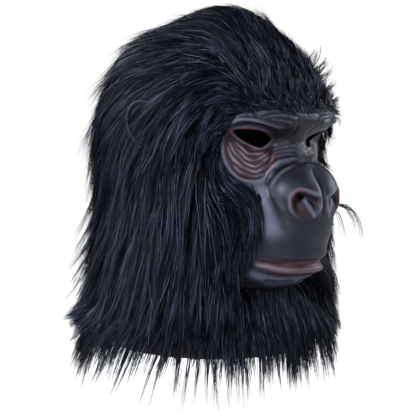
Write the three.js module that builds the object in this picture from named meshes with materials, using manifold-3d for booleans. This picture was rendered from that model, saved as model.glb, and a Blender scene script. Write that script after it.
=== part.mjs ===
// Overhead gorilla mask: a moulded latex head with ears, a long-pile fur hood round it and a fur beard.
// Millimetres, +Z up, face towards -Y. The origin is on the inside of the crown, where the wearer's head bears.
import * as THREE from "three";
import { mergeVertices } from "three/addons/utils/BufferGeometryUtils.js";
import Module from "manifold-3d";

const wasm = await Module();
wasm.setup();

// Driving sizes of the latex head
const latexWall = 2;
const maskDrop = 330; // crown to neck rim
const headHalfWidth = 88;
const headBack = 113; // axis to the back of the head
const faceReach = 114; // axis to the forehead, without the brow or the muzzle
const muzzleLift = 44; // how far the muzzle stands out of the face
const relief = 10; // depth of the moulded brow, sockets, nose and lips
const foreheadSquareness = 2.4; // exponent of the front of each section, 2 is an ellipse

// Eye holes, nostril holes and the slit between the lips
const eyeHoleHalfWidth = 20.5;
const eyeHoleHalfHeight = 8.5;
const eyeHoleSide = 40.5; // centre of each hole from the middle
const eyeHoleDrop = 120;
const eyeHoleTilt = 22; // degrees, outer corner up
const nostrilHoleRadius = 2.4;
const nostrilSide = 20;
const nostrilDrop = 177;
const lipSlitHeight = 2;
const lipSlitHalfWidth = 41;
const lipDrop = 243; // at the middle
const lipCornerRise = 6; // the corners sit higher by this

// Ears, moulded in one with the head
const earHeight = 44;
const earLength = 30; // front to back
const earThickness = 14;
const earStandOff = 13; // from the head's side to the ear's middle
const earBack = 6;
const earDrop = 101;
const earTurn = 28; // degrees that the ear opens forwards
const earHollow = 0.62; // the ear's bowl as a share of the ear
const earRoot = 22; // from the ear's middle to the middle of its root

// Fur
const furGap = 0.4; // between the fur backing and the latex
const furSeam = 0.5; // between the hood and the beard
const edgePile = 7; // thickness of the fur at the edge of the face
const edgeSpread = 18; // degrees over which it comes up to its full thickness
const edgeRise = 0.07; // and the share of maskDrop over which it does so above the forehead
const beardHalfAngle = 38; // degrees each side of the front
const beardDrop = 264;
const lockLength = 62; // of the locks below the hem
const lockWidth = 36;
const lockThickness = 13;
const lockCurl = 0.08; // how far a lock's tip bends outwards, as a share of its length
const hemLocks = 26; // round the whole hem
const beardRecess = 16; // the beard hangs this far behind the hood's own curve

// Plan sections of the latex head. drop is a share of maskDrop below the origin, side of headHalfWidth,
// back of headBack and front of faceReach.
const headSections = [
  { drop: -0.006, side: 0, back: 0, front: 0 },
  { drop: 0.006, side: 0.16, back: 0.24, front: 0.17 },
  { drop: 0.024, side: 0.28, back: 0.39, front: 0.29 },
  { drop: 0.048, side: 0.43, back: 0.55, front: 0.4 },
  { drop: 0.084, side: 0.59, back: 0.75, front: 0.53 },
  { drop: 0.143, side: 0.76, back: 0.91, front: 0.7 },
  { drop: 0.224, side: 0.9, back: 0.975, front: 0.88 },
  { drop: 0.307, side: 0.98, back: 1, front: 1 },
  { drop: 0.385, side: 1, back: 1, front: 0.87 },
  { drop: 0.466, side: 1, back: 0.985, front: 0.83 },
  { drop: 0.555, side: 0.99, back: 0.96, front: 0.81 },
  { drop: 0.645, side: 0.98, back: 0.925, front: 0.77 },
  { drop: 0.734, side: 0.955, back: 0.9, front: 0.7 },
  { drop: 0.815, side: 0.955, back: 0.89, front: 0.65 },
  { drop: 0.896, side: 0.99, back: 0.915, front: 0.69 },
  { drop: 1, side: 1.05, back: 0.96, front: 0.77 },
];

// The muzzle's lift at the middle, as a share of muzzleLift, and how far round it spreads in degrees.
const muzzleSections = [
  { drop: 0.33, lift: 0, spread: 10 },
  { drop: 0.375, lift: 0.12, spread: 10 },
  { drop: 0.412, lift: 0.34, spread: 12 },
  { drop: 0.442, lift: 0.6, spread: 16 },
  { drop: 0.475, lift: 0.83, spread: 20 },
  { drop: 0.52, lift: 0.97, spread: 24 },
  { drop: 0.585, lift: 1, spread: 26 },
  { drop: 0.645, lift: 0.99, spread: 27 },
  { drop: 0.693, lift: 0.91, spread: 27 },
  { drop: 0.734, lift: 0.85, spread: 26 },
  { drop: 0.768, lift: 0.8, spread: 25 },
  { drop: 0.79, lift: 0.58, spread: 24 },
  { drop: 0.815, lift: 0.2, spread: 22 },
  { drop: 0.85, lift: 0, spread: 22 },
];
const muzzleSharpness = 2.6;

// Moulded relief. angle and wide are in degrees round the axis and repeat on both sides, drop and tall are
// shares of maskDrop, out and sag are shares of relief.
const reliefForms = [
  { name: "brow ridge inner", angle: 12, wide: 11, drop: 0.332, tall: 0.03, out: 0.8, sag: 0.25 },
  { name: "brow ridge outer", angle: 32, wide: 13, drop: 0.318, tall: 0.03, out: 1.1, sag: 0.2 },
  { name: "brow corner", angle: 47, wide: 7, drop: 0.345, tall: 0.04, out: 0.55, sag: 0 },
  { name: "eye socket", angle: 27, wide: 12, drop: 0.378, tall: 0.028, out: -1.3, sag: 0 },
  { name: "eye bag", angle: 31, wide: 12, drop: 0.45, tall: 0.035, out: -0.3, sag: 0 },
  { name: "socket rim", angle: 45, wide: 4, drop: 0.44, tall: 0.06, out: 0.45, sag: 0 },
  { name: "cheek bone", angle: 36, wide: 9, drop: 0.515, tall: 0.025, out: 0.5, sag: 0 },
  { name: "nose wing", angle: 9.5, wide: 6.5, drop: 0.495, tall: 0.042, out: 1, sag: 0.2 },
  { name: "nose wing side", angle: 15.5, wide: 4.5, drop: 0.515, tall: 0.042, out: 0.65, sag: 0.2 },
  { name: "nostril", angle: 8.5, wide: 3.4, drop: 0.545, tall: 0.02, out: -0.8, sag: 0 },
  { name: "wing groove", angle: 22, wide: 3, drop: 0.53, tall: 0.05, out: -0.6, sag: 0 },
  { name: "upper lip", angle: 8, wide: 16, drop: 0.71, tall: 0.018, out: 0.3, sag: 0.3 },
  { name: "mouth", angle: 9, wide: 18, drop: 0.728, tall: 0.009, out: -0.7, sag: 0 },
  { name: "lower lip", angle: 8, wide: 14, drop: 0.748, tall: 0.014, out: 0.5, sag: 0.3 },
  { name: "chin crease", angle: 0, wide: 12, drop: 0.772, tall: 0.008, out: -0.2, sag: 0 },
];
const noseGrooveDepth = 0.4; // share of relief, one groove down the middle of the nose
const noseGrooveWide = 2.2; // degrees
const noseGrooveDrop = 0.49;
const noseGrooveTall = 0.05;

// Outer surface of the fur, pile included, as shares of the same sizes. It ends at the hem.
const furSections = [
  { drop: -0.03, side: 0, back: 0, front: 0 },
  { drop: -0.02, side: 0.13, back: 0.11, front: 0.24 },
  { drop: 0.006, side: 0.38, back: 0.33, front: 0.4 },
  { drop: 0.036, side: 0.59, back: 0.56, front: 0.45 },
  { drop: 0.084, side: 0.8, back: 0.95, front: 0.63 },
  { drop: 0.145, side: 0.97, back: 1.13, front: 0.8 },
  { drop: 0.236, side: 1.13, back: 1.27, front: 1 },
  { drop: 0.315, side: 1.22, back: 1.32, front: 1.09 },
  { drop: 0.382, side: 1.25, back: 1.33, front: 1.11 },
  { drop: 0.47, side: 1.26, back: 1.33, front: 1.04 },
  { drop: 0.57, side: 1.26, back: 1.31, front: 1.03 },
  { drop: 0.67, side: 1.3, back: 1.32, front: 1.04 },
  { drop: 0.76, side: 1.36, back: 1.38, front: 1.02 },
  { drop: 0.88, side: 1.42, back: 1.45, front: 0.98 },
  { drop: 0.93, side: 1.46, back: 1.55, front: 1.0 },
  { drop: 0.945, side: 1.42, back: 1.51, front: 0.98 },
];

// Half angle of the face opening in the hood, in degrees, from its top to the start of the beard.
const faceWindow = [
  { drop: 0.276, angle: 2 },
  { drop: 0.282, angle: 22 },
  { drop: 0.3, angle: 31 },
  { drop: 0.325, angle: 37 },
  { drop: 0.375, angle: 43 },
  { drop: 0.406, angle: 44.5 },
  { drop: 0.467, angle: 40.5 },
  { drop: 0.5, angle: 32 },
  { drop: 0.53, angle: 25 },
  { drop: 0.565, angle: 24.5 },
  { drop: 0.615, angle: 27 },
  { drop: 0.67, angle: 31 },
  { drop: 0.712, angle: 35 },
  { drop: 0.765, angle: 39.5 },
  { drop: 0.79, angle: 37 },
  { drop: 0.803, angle: 22 },
  { drop: 0.806, angle: 2 },
];

// Locks that stand on the pile. Angles are in degrees from the front and repeat on both sides, drop is a share of
// maskDrop, length and width of the hem's locks. flare leans a lock outwards, forward leans it to the face, and
// rise 1 points it down, -1 up.
const pileLocks = [
  { name: "nape", from: 84, to: 176, count: 4, drop: 0.15, length: 0.9, width: 0.9, flare: 0.28, forward: -0.1, rise: 1 },
  { name: "back", from: 74, to: 168, count: 5, drop: 0.33, length: 1, width: 0.9, flare: 0.22, forward: 0, rise: 1 },
  { name: "low back", from: 66, to: 176, count: 4, drop: 0.51, length: 1, width: 0.9, flare: 0.2, forward: 0, rise: 1 },
  { name: "flank", from: 60, to: 168, count: 5, drop: 0.69, length: 1, width: 0.9, flare: 0.22, forward: 0, rise: 1 },
  { name: "tuft", from: 24, to: 40, count: 2, drop: 0.255, length: 0.55, width: 0.8, flare: -0.05, forward: 0, rise: -1 },
  { name: "temple", from: 52, to: 52, count: 1, drop: 0.36, length: 0.6, width: 0.5, flare: 0.1, forward: 0.2, rise: 1 },
  { name: "sideburn", from: 38, to: 38, count: 1, drop: 0.485, length: 0.55, width: 0.5, flare: 0.25, forward: 0.9, rise: 1 },
  { name: "cheek", from: 31, to: 31, count: 1, drop: 0.545, length: 0.6, width: 0.4, flare: 0.1, forward: 0.1, rise: 1 },
  { name: "jaw", from: 36, to: 36, count: 1, drop: 0.63, length: 0.7, width: 0.4, flare: 0.1, forward: 0, rise: 1 },
  { name: "low jaw", from: 43, to: 43, count: 1, drop: 0.7, length: 0.8, width: 0.5, flare: 0.1, forward: 0, rise: 1 },
];

// Mesh density of the latex head: steps of the angle in degrees over a stretch of the half circle, and of the
// height over a stretch of the drop.
const latexAngles = [
  { from: 0, to: 30, steps: 7 },
  { from: 30, to: 50, steps: 4 },
  { from: 50, to: 180, steps: 7 },
];
const latexDrops = [
  { from: 0.13, to: 0.27, steps: 2 },
  { from: 0.27, to: 0.57, steps: 12 },
  { from: 0.57, to: 0.7, steps: 3 },
  { from: 0.7, to: 0.8, steps: 7 },
  { from: 0.8, to: 1, steps: 3 },
];
const latexCrownRows = 4;
// The fur's columns follow the edge of the face: from the middle of the face to its edge they are shares of the
// opening's half angle, and from there to the back shares of the rest.
const furColumns = { face: [0, 0.5, 0.92], rest: [0.03, 0.075, 0.13, 0.21, 0.3, 0.4, 0.51, 0.63, 0.75, 0.88] };
const furDrops = [
  { from: 0.09, to: 0.26, steps: 3 },
  { from: 0.26, to: 0.945, steps: 11 },
];
const furCrownRows = 4;

const meshTolerance = 0.15; // how far a facet may stand off the shape it was cut to

const latexBlack = 0x26252c;
const furBlack = 0x0d0d12;

const radians = THREE.MathUtils.degToRad;

// A column of a table as a smooth curve (Catmull-Rom) through its rows; place counts rows.
function column(rows, name, place) {
  const i = Math.min(Math.max(Math.floor(place), 0), rows.length - 2);
  const t = place - i;
  const at = (k) => rows[Math.min(Math.max(k, 0), rows.length - 1)][name];
  const [a, b, c, d] = [at(i - 1), at(i), at(i + 1), at(i + 2)];
  return b + 0.5 * t * (c - a + t * (2 * a - 5 * b + 4 * c - d + t * (3 * (b - c) + d - a)));
}

// The place in a table at which its drop reaches the value asked for.
function placeOf(rows, drop) {
  let low = 0;
  let high = rows.length - 1;
  for (let i = 0; i < 40; i++) {
    const middle = (low + high) / 2;
    if (column(rows, "drop", middle) < drop) low = middle;
    else high = middle;
  }
  return (low + high) / 2;
}

const bell = (x) => Math.exp(-x * x);

// Distance from the axis to a section: a rounded rectangle's curve in front and an ellipse behind.
function sectionRadius(rows, place, angle) {
  const sine = Math.abs(Math.sin(angle));
  const cosine = Math.cos(angle);
  const side = column(rows, "side", place) * headHalfWidth;
  const reach =
    cosine > 0
      ? column(rows, "front", place) * faceReach
      : column(rows, "back", place) * headBack;
  if (side <= 0 || reach <= 0) return 0;
  const n = cosine > 0 ? foreheadSquareness : 2;
  return (Math.pow(sine / side, n) + Math.pow(Math.abs(cosine) / reach, n)) ** (-1 / n);
}

// A point of the latex head's outer surface. angle is 0 at the front and positive towards the wearer's left.
function latexPoint(angle, place) {
  const drop = column(headSections, "drop", place);
  const degrees = Math.abs(THREE.MathUtils.radToDeg(angle));
  let radius = sectionRadius(headSections, place, angle);
  let sag = 0;
  if (degrees < 90 && drop > muzzleSections[0].drop * 0.7) {
    const row = placeOf(muzzleSections, drop);
    const lift = Math.max(column(muzzleSections, "lift", row), 0) * muzzleLift;
    const spread = column(muzzleSections, "spread", row);
    radius += lift * Math.exp(-Math.pow(degrees / spread, muzzleSharpness));
    for (const form of reliefForms) {
      const across = bell((degrees - form.angle) / form.wide) + bell((degrees + form.angle) / form.wide);
      const weight = Math.min(across, 1) * bell((drop - form.drop) / form.tall);
      radius += form.out * relief * weight;
      sag += form.sag * relief * weight;
    }
    const groove = bell(degrees / noseGrooveWide) * bell((drop - noseGrooveDrop) / noseGrooveTall);
    radius -= noseGrooveDepth * relief * groove;
  }
  return new THREE.Vector3(
    radius * Math.sin(angle),
    -radius * Math.cos(angle),
    -drop * maskDrop - sag,
  );
}

// The same point moved along the surface's normal.
function latexOffset(angle, place, offset) {
  const point = latexPoint(angle, place);
  if (place < 1e-6) return point.add(new THREE.Vector3(0, 0, offset));
  const step = 0.02;
  const last = headSections.length - 1;
  const across = latexPoint(angle + step, place).sub(latexPoint(angle - step, place));
  const upper = latexPoint(angle, Math.max(place - step, 0));
  const lower = latexPoint(angle, Math.min(place + step, last));
  const normal = across.cross(upper.sub(lower)).normalize();
  const moved = point.clone().addScaledVector(normal, offset);
  if (place > last - 1e-6) moved.z = point.z; // the neck rim stays level
  return moved;
}

// The fur's outer surface. It lies close to the latex round the face and comes up to its full pile away from it.
function furPoint(angle, place) {
  const drop = column(furSections, "drop", place);
  let radius = sectionRadius(furSections, place, angle);
  const top = faceWindow[1].drop;
  const row = placeOf(faceWindow, Math.max(drop, top));
  const degrees = Math.abs(THREE.MathUtils.radToDeg(angle));
  const aside = Math.max(degrees - column(faceWindow, "angle", row), 0) / edgeSpread;
  const above = Math.max(top - drop, 0) / edgeRise;
  const below = Math.max(drop - faceWindow.at(-2).drop, 0) / edgeRise;
  const away = Math.min(Math.hypot(aside, above, below), 1);
  if (below > 0) radius -= beardRecess * bell(degrees / beardHalfAngle) * Math.min(below, 1);
  if (away < 1 && degrees < 90) {
    const skin = latexPoint(angle, placeOf(headSections, drop));
    const close = Math.min(Math.hypot(skin.x, skin.y) + edgePile, radius);
    radius = close + (radius - close) * away * away * (3 - 2 * away);
  }
  return new THREE.Vector3(radius * Math.sin(angle), -radius * Math.cos(angle), -drop * maskDrop);
}

// The half angle that the fur's columns follow at a place of its table.
function furGuide(place) {
  const row = placeOf(faceWindow, column(furSections, "drop", place));
  return radians(column(faceWindow, "angle", Math.min(Math.max(row, 2), faceWindow.length - 4)));
}

// The fur's surface by its own columns: whole numbers count them, negative ones to the wearer's right.
function furSurface(count, place) {
  const guide = furGuide(place);
  const k = Math.abs(count);
  const first = furColumns.face.length;
  const angle =
    k < first
      ? furColumns.face[k] * guide
      : guide + (Math.PI - guide) * (furColumns.rest[k - first] ?? 1);
  return furPoint(Math.sign(count) * angle, place);
}

function furCounts() {
  const last = furColumns.face.length + furColumns.rest.length;
  const counts = [];
  for (let k = 0; k <= last; k++) counts.push(k);
  for (let k = last - 1; k > 0; k--) counts.push(-k);
  return counts;
}

// Angles all the way round, mirrored, from a table of stretches of the half circle.
function anglesOf(stretches) {
  const half = [];
  for (const { from, to, steps } of stretches)
    for (let i = 0; i < steps; i++) half.push(radians(from + ((to - from) * i) / steps));
  const back = half.slice(1).reverse().map((angle) => -angle);
  return [...half, Math.PI, ...back];
}

// Places down a table of sections: the crown row by row, then the stretches of the drop.
function placesOf(rows, crownRows, stretches) {
  const first = placeOf(rows, stretches[0].from);
  const places = [];
  for (let i = 0; i < crownRows; i++) places.push((first * (i + 1)) / (crownRows + 1));
  for (const { from, to, steps } of stretches)
    for (let i = 0; i < steps; i++) places.push(placeOf(rows, from + ((to - from) * i) / steps));
  places.push(placeOf(rows, stretches.at(-1).to));
  return places;
}

function geometryFrom(points, faces) {
  const geometry = new THREE.BufferGeometry().setFromPoints(points);
  geometry.setIndex(faces);
  return geometry;
}

// Faces between rings of points that run the same way round, each ring below the last.
function bandFaces(ringStarts, count) {
  const faces = [];
  for (let k = 0; k + 1 < ringStarts.length; k++)
    for (let i = 0; i < count; i++) {
      const j = (i + 1) % count;
      const [a, b] = [ringStarts[k] + i, ringStarts[k] + j];
      const [c, d] = [ringStarts[k + 1] + i, ringStarts[k + 1] + j];
      faces.push(a, c, b, b, c, d);
    }
  return faces;
}

// A closed body under one surface: a pole on top, rings, and a flat bottom.
function closedLoft(surface, angles, places) {
  const points = [surface(0, 0)];
  const starts = [];
  for (const place of places) {
    starts.push(points.length);
    for (const angle of angles) points.push(surface(angle, place));
  }
  const count = angles.length;
  const faces = bandFaces(starts, count);
  const last = starts.at(-1);
  points.push(new THREE.Vector3(0, 0, points[last].z));
  const middle = points.length - 1;
  for (let i = 0; i < count; i++) {
    const j = (i + 1) % count;
    faces.push(0, starts[0] + i, starts[0] + j);
    faces.push(middle, last + j, last + i);
  }
  return geometryFrom(points, faces);
}

// A wall between two surfaces that share their angles and places, open at the bottom with a flat rim.
function wallLoft(outer, inner, angles, places) {
  const points = [];
  const starts = { outer: [], inner: [] };
  const poles = {};
  for (const [name, surface] of [["outer", outer], ["inner", inner]]) {
    poles[name] = points.length;
    points.push(surface(0, 0));
    for (const place of places) {
      starts[name].push(points.length);
      for (const angle of angles) points.push(surface(angle, place));
    }
  }
  const count = angles.length;
  const rim = [starts.outer.at(-1), starts.inner.at(-1)];
  const faces = [...bandFaces(starts.outer, count), ...bandFaces(rim, count)];
  const inside = bandFaces(starts.inner, count);
  for (let i = 0; i < inside.length; i += 3) faces.push(inside[i], inside[i + 2], inside[i + 1]);
  for (let i = 0; i < count; i++) {
    const j = (i + 1) % count;
    faces.push(poles.outer, starts.outer[0] + i, starts.outer[0] + j);
    faces.push(poles.inner, starts.inner[0] + j, starts.inner[0] + i);
  }
  return geometryFrom(points, faces);
}

function solidOf(geometry) {
  const bare = geometry.clone();
  bare.deleteAttribute("normal");
  bare.deleteAttribute("uv");
  const merged = mergeVertices(bare, 1e-3);
  return new wasm.Manifold(
    new wasm.Mesh({
      numProp: 3,
      vertProperties: merged.attributes.position.array,
      triVerts: new Uint32Array(merged.index.array),
    }),
  );
}

// The biggest body of a cut, without crumbs that the cut left apart from it.
function largest(solid) {
  return solid.decompose().reduce((a, b) => (b.volume() > a.volume() ? b : a));
}

function geometryOf(solid) {
  const { vertProperties, triVerts } = solid.simplify(meshTolerance).getMesh();
  const geometry = new THREE.BufferGeometry();
  geometry.setAttribute("position", new THREE.BufferAttribute(vertProperties, 3));
  geometry.setIndex(new THREE.BufferAttribute(triVerts, 1));
  const faceted = geometry.toNonIndexed();
  faceted.computeVertexNormals();
  return faceted;
}

// An almond with its corners left and right, run through the wall along Y.
function eyeHole(side) {
  const outline = new THREE.Shape();
  outline.moveTo(-eyeHoleHalfWidth, 0);
  outline.quadraticCurveTo(0, 2 * eyeHoleHalfHeight, eyeHoleHalfWidth, 0);
  outline.quadraticCurveTo(0, -2 * eyeHoleHalfHeight, -eyeHoleHalfWidth, 0);
  const hole = new THREE.ExtrudeGeometry(outline, { depth: faceReach, bevelEnabled: false, curveSegments: 5 });
  hole.rotateX(Math.PI / 2); // the outline stands in XZ and runs towards -Y
  hole.rotateY(-side * radians(eyeHoleTilt));
  hole.translate(side * eyeHoleSide, -faceReach / 3, -eyeHoleDrop);
  return solidOf(hole);
}

function nostrilHole(side) {
  const hole = new THREE.CylinderGeometry(nostrilHoleRadius, nostrilHoleRadius, faceReach, 8);
  hole.translate(side * nostrilSide, -faceReach, -nostrilDrop);
  return solidOf(hole);
}

function lipSlit() {
  const half = lipSlitHeight / 2;
  const outline = new THREE.Shape();
  outline.moveTo(-lipSlitHalfWidth, lipCornerRise);
  outline.quadraticCurveTo(0, 2 * half - lipCornerRise, lipSlitHalfWidth, lipCornerRise);
  outline.quadraticCurveTo(0, -2 * half - lipCornerRise, -lipSlitHalfWidth, lipCornerRise);
  const slit = new THREE.ExtrudeGeometry(outline, { depth: faceReach, bevelEnabled: false, curveSegments: 8 });
  slit.rotateX(Math.PI / 2);
  slit.translate(0, -faceReach / 2, -lipDrop);
  return solidOf(slit);
}

const earSide = headHalfWidth + earStandOff;

// An ear: a flattened ball with a bowl in its outer face, opening forwards. grow adds clearance for the fur.
function earForm(side, scale, grow) {
  const form = new THREE.SphereGeometry(1, 10, 6);
  form.scale(
    (earThickness * scale) / 2 + grow,
    (earLength * scale) / 2 + grow,
    (earHeight * scale) / 2 + grow,
  );
  return { form, place: () => form.rotateZ(-side * radians(earTurn)).translate(side * earSide, earBack, -earDrop) };
}

function earBody(side) {
  const { form, place } = earForm(side, 1, 0);
  place();
  const root = new THREE.CylinderGeometry(earLength / 4, earLength / 3, earRoot, 6);
  root.rotateZ(-side * Math.PI / 2);
  root.translate(side * (earSide - earRoot / 2), earBack, -earDrop);
  return solidOf(form).add(solidOf(root));
}

function earBowl(side) {
  const { form, place } = earForm(side, earHollow, 0);
  form.translate((side * earThickness) / 2, -earLength / 8, 0);
  place();
  return solidOf(form);
}

function earClearance(side) {
  const { form, place } = earForm(side, 1, furGap);
  place();
  const root = new THREE.CylinderGeometry(earLength / 4 + furGap, earLength / 3 + furGap, earRoot, 6);
  root.rotateZ(-side * Math.PI / 2);
  root.translate(side * (earSide - earRoot / 2), earBack, -earDrop);
  return solidOf(form).add(solidOf(root));
}

// Rows of the opening's table with one more between each two, on its smooth curve.
function smoothRows(rows) {
  const places = rows.flatMap((_, i) => (i > 0 && i < rows.length - 2 ? [i, i + 0.5] : [i]));
  return places.map((place) => ({
    drop: column(rows, "drop", place),
    angle: column(rows, "angle", place),
  }));
}

// A wedge of space round the front of the axis, between angles that a table gives for each drop.
function frontWedge(rows, grow) {
  const near = 0.55 * faceReach;
  const far = 1.45 * faceReach;
  const spokes = [-1, -0.5, 0, 0.5, 1];
  const points = [];
  const starts = [];
  for (const { drop, angle } of rows) {
    starts.push(points.length);
    const half = radians(angle + grow);
    const ring = [
      ...spokes.map((s) => [near, s * half]),
      ...spokes.map((s) => [far, -s * half]),
    ];
    for (const [r, a] of ring)
      points.push(new THREE.Vector3(r * Math.sin(a), -r * Math.cos(a), -drop * maskDrop));
  }
  const count = 2 * spokes.length;
  const faces = bandFaces(starts, count);
  const last = starts.at(-1);
  for (let i = 1; i + 1 < count; i++) {
    faces.push(starts[0], starts[0] + i, starts[0] + i + 1);
    faces.push(last, last + i + 1, last + i);
  }
  const flipped = [];
  for (let i = 0; i < faces.length; i += 3) flipped.push(faces[i], faces[i + 2], faces[i + 1]);
  const solid = solidOf(geometryFrom(points, faces));
  return solid.volume() > 0 ? solid : solidOf(geometryFrom(points, flipped));
}

// A lock of fur: a lens-shaped section that tapers along a curve from its root to a point.
function furLock(root, along, outward, length, width, thickness, curl) {
  const across = new THREE.Vector3().crossVectors(outward, along).normalize();
  const stations = [
    { t: 0, size: 0.85 },
    { t: 0.45, size: 1 },
  ];
  const points = [];
  const place = (t) =>
    root.clone().addScaledVector(along, length * t).addScaledVector(outward, curl * length * t * t);
  for (const { t, size } of stations) {
    const centre = place(t);
    points.push(centre.clone().addScaledVector(across, (width * size) / 2));
    points.push(centre.clone().addScaledVector(outward, (thickness * size) / 2));
    points.push(centre.clone().addScaledVector(across, (-width * size) / 2));
    points.push(centre.clone().addScaledVector(outward, (-thickness * size) / 2));
  }
  points.push(place(1));
  const starts = stations.map((_, k) => 4 * k);
  const faces = bandFaces(starts, 4);
  faces.push(0, 1, 2, 0, 2, 3);
  const tip = points.length - 1;
  const last = starts.at(-1);
  for (let i = 0; i < 4; i++) faces.push(tip, last + ((i + 1) % 4), last + i);
  const solid = solidOf(geometryFrom(points, faces));
  if (solid.volume() > 0) return solid;
  for (let i = 0; i < faces.length; i += 3) [faces[i + 1], faces[i + 2]] = [faces[i + 2], faces[i + 1]];
  return solidOf(geometryFrom(points, faces));
}

// Uneven but repeatable: about 0.7 to 1, from the lock's number.
const uneven = (i) => 0.85 + 0.15 * Math.sin(2.4 * i);

const down = new THREE.Vector3(0, 0, -1);
const outwardAt = (angle) => new THREE.Vector3(Math.sin(angle), -Math.cos(angle), 0);

function hemLock(angle, i) {
  const outward = outwardAt(angle);
  const root = furPoint(angle, furSections.length - 2).addScaledVector(outward, -0.7 * lockThickness);
  return furLock(root, down, outward, lockLength * uneven(i), lockWidth, lockThickness, lockCurl);
}

function pileLock(lock, side, i) {
  const share = lock.count > 1 ? i / (lock.count - 1) : 0;
  const angle = side * radians(lock.from + (lock.to - lock.from) * share);
  const outward = outwardAt(angle);
  const ahead = outwardAt(angle - (side * Math.PI) / 2);
  const thickness = lockThickness * Math.min(lock.width + 0.2, 1);
  const root = furPoint(angle, placeOf(furSections, lock.drop)).addScaledVector(outward, -0.55 * thickness);
  const along = new THREE.Vector3(0, 0, -lock.rise)
    .addScaledVector(outward, lock.flare)
    .addScaledVector(ahead, lock.forward)
    .normalize();
  const facing = outward.clone().addScaledVector(along, -outward.dot(along)).normalize();
  return furLock(root, along, facing, lockLength * lock.length * uneven(i), lockWidth * lock.width, thickness, lockCurl);
}

const latexAngleList = anglesOf(latexAngles);
const latexPlaces = placesOf(headSections, latexCrownRows, latexDrops);

function latexHead() {
  const wall = wallLoft(
    (angle, place) => latexOffset(angle, place, 0),
    (angle, place) => latexOffset(angle, place, -latexWall),
    latexAngleList,
    latexPlaces,
  );
  const hollow = solidOf(
    closedLoft((angle, place) => latexOffset(angle, place, -latexWall), latexAngleList, latexPlaces),
  );
  let head = solidOf(wall);
  for (const side of [-1, 1]) {
    const ear = earBody(side).subtract(earBowl(side)).subtract(hollow);
    head = head.add(ear).subtract(eyeHole(side)).subtract(nostrilHole(side));
  }
  return head.subtract(lipSlit());
}

// The latex head with its hollow filled, grown by the fur's gap.
function latexEnvelope() {
  const rim = latexPlaces.at(-1);
  const skin = (angle, place) => {
    const point = latexOffset(angle, Math.min(place, rim), furGap);
    if (place > rim) point.z -= 2 * lockLength;
    return point;
  };
  let envelope = solidOf(closedLoft(skin, latexAngleList, [...latexPlaces, rim + 1]));
  for (const side of [-1, 1]) envelope = envelope.add(earClearance(side));
  return envelope;
}

function beardWedge(grow) {
  const top = beardDrop / maskDrop - grow / maskDrop;
  return frontWedge(
    [
      { drop: top, angle: beardHalfAngle },
      { drop: 1.5, angle: beardHalfAngle },
    ],
    THREE.MathUtils.radToDeg(grow / faceReach),
  );
}

const furBody = solidOf(
  closedLoft(furSurface, furCounts(), placesOf(furSections, furCrownRows, furDrops)),
);
const latexSpace = latexEnvelope();
const faceOpening = frontWedge(smoothRows(faceWindow), 0);

function furHood() {
  let hood = furBody;
  for (let i = 0; i < hemLocks; i++) {
    const angle = ((i + 0.5) / hemLocks - 0.5) * 2 * Math.PI;
    hood = hood.add(hemLock(angle, Math.min(i, hemLocks - 1 - i)));
  }
  hood = hood.subtract(faceOpening);
  for (const lock of pileLocks)
    for (let i = 0; i < lock.count; i++)
      for (const side of [-1, 1]) hood = hood.add(pileLock(lock, side, i));
  return largest(hood.subtract(latexSpace).subtract(beardWedge(furSeam)));
}

function furBeard() {
  let beard = furBody;
  for (let i = 0; i < hemLocks; i++) {
    const angle = ((i + 0.5) / hemLocks - 0.5) * 2 * Math.PI;
    if (Math.cos(angle) > 0.5) beard = beard.add(hemLock(angle, Math.min(i, hemLocks - 1 - i)));
  }
  return largest(beard.intersect(beardWedge(0)).subtract(faceOpening).subtract(latexSpace));
}

function piece(name, solid, color, roughness) {
  const material = new THREE.MeshStandardMaterial({ color, roughness, metalness: 0 });
  const mesh = new THREE.Mesh(geometryOf(solid), material);
  mesh.name = name;
  return mesh;
}

const mask = new THREE.Group();
mask.name = "gorilla_mask";
mask.add(
  piece("latex_head", latexHead(), latexBlack, 0.45),
  piece("fur_hood", furHood(), furBlack, 0.8),
  piece("fur_beard", furBeard(), furBlack, 0.8),
);

export default mask;
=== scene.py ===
import bpy
import numpy as np
from mathutils import Matrix, Vector


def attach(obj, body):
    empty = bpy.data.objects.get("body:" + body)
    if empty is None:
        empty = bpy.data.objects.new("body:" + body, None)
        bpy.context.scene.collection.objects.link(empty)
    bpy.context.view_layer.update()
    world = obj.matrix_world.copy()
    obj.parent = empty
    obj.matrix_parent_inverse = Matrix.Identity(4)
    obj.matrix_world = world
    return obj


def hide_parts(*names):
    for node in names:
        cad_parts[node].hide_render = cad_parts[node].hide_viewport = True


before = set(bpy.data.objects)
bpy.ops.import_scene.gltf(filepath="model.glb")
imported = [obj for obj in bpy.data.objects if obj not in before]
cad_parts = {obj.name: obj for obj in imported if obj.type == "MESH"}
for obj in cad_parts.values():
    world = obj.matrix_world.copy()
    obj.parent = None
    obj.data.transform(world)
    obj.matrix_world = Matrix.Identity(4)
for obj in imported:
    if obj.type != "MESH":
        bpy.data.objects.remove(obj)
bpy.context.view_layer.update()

# Sizes of the mask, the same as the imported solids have
mask = {
    "drop": 0.330,  # crown to neck rim
    "halfWidth": 0.088, "back": 0.113, "front": 0.114, "muzzleLift": 0.044, "relief": 0.010,
    "wall": 0.002, "squareness": 2.4, "edgePile": 0.007, "edgeSpread": 18, "edgeRise": 0.07,
    "beardRecess": 0.016, "beardHalfAngle": 38, "hem": 0.945,
}

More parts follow.
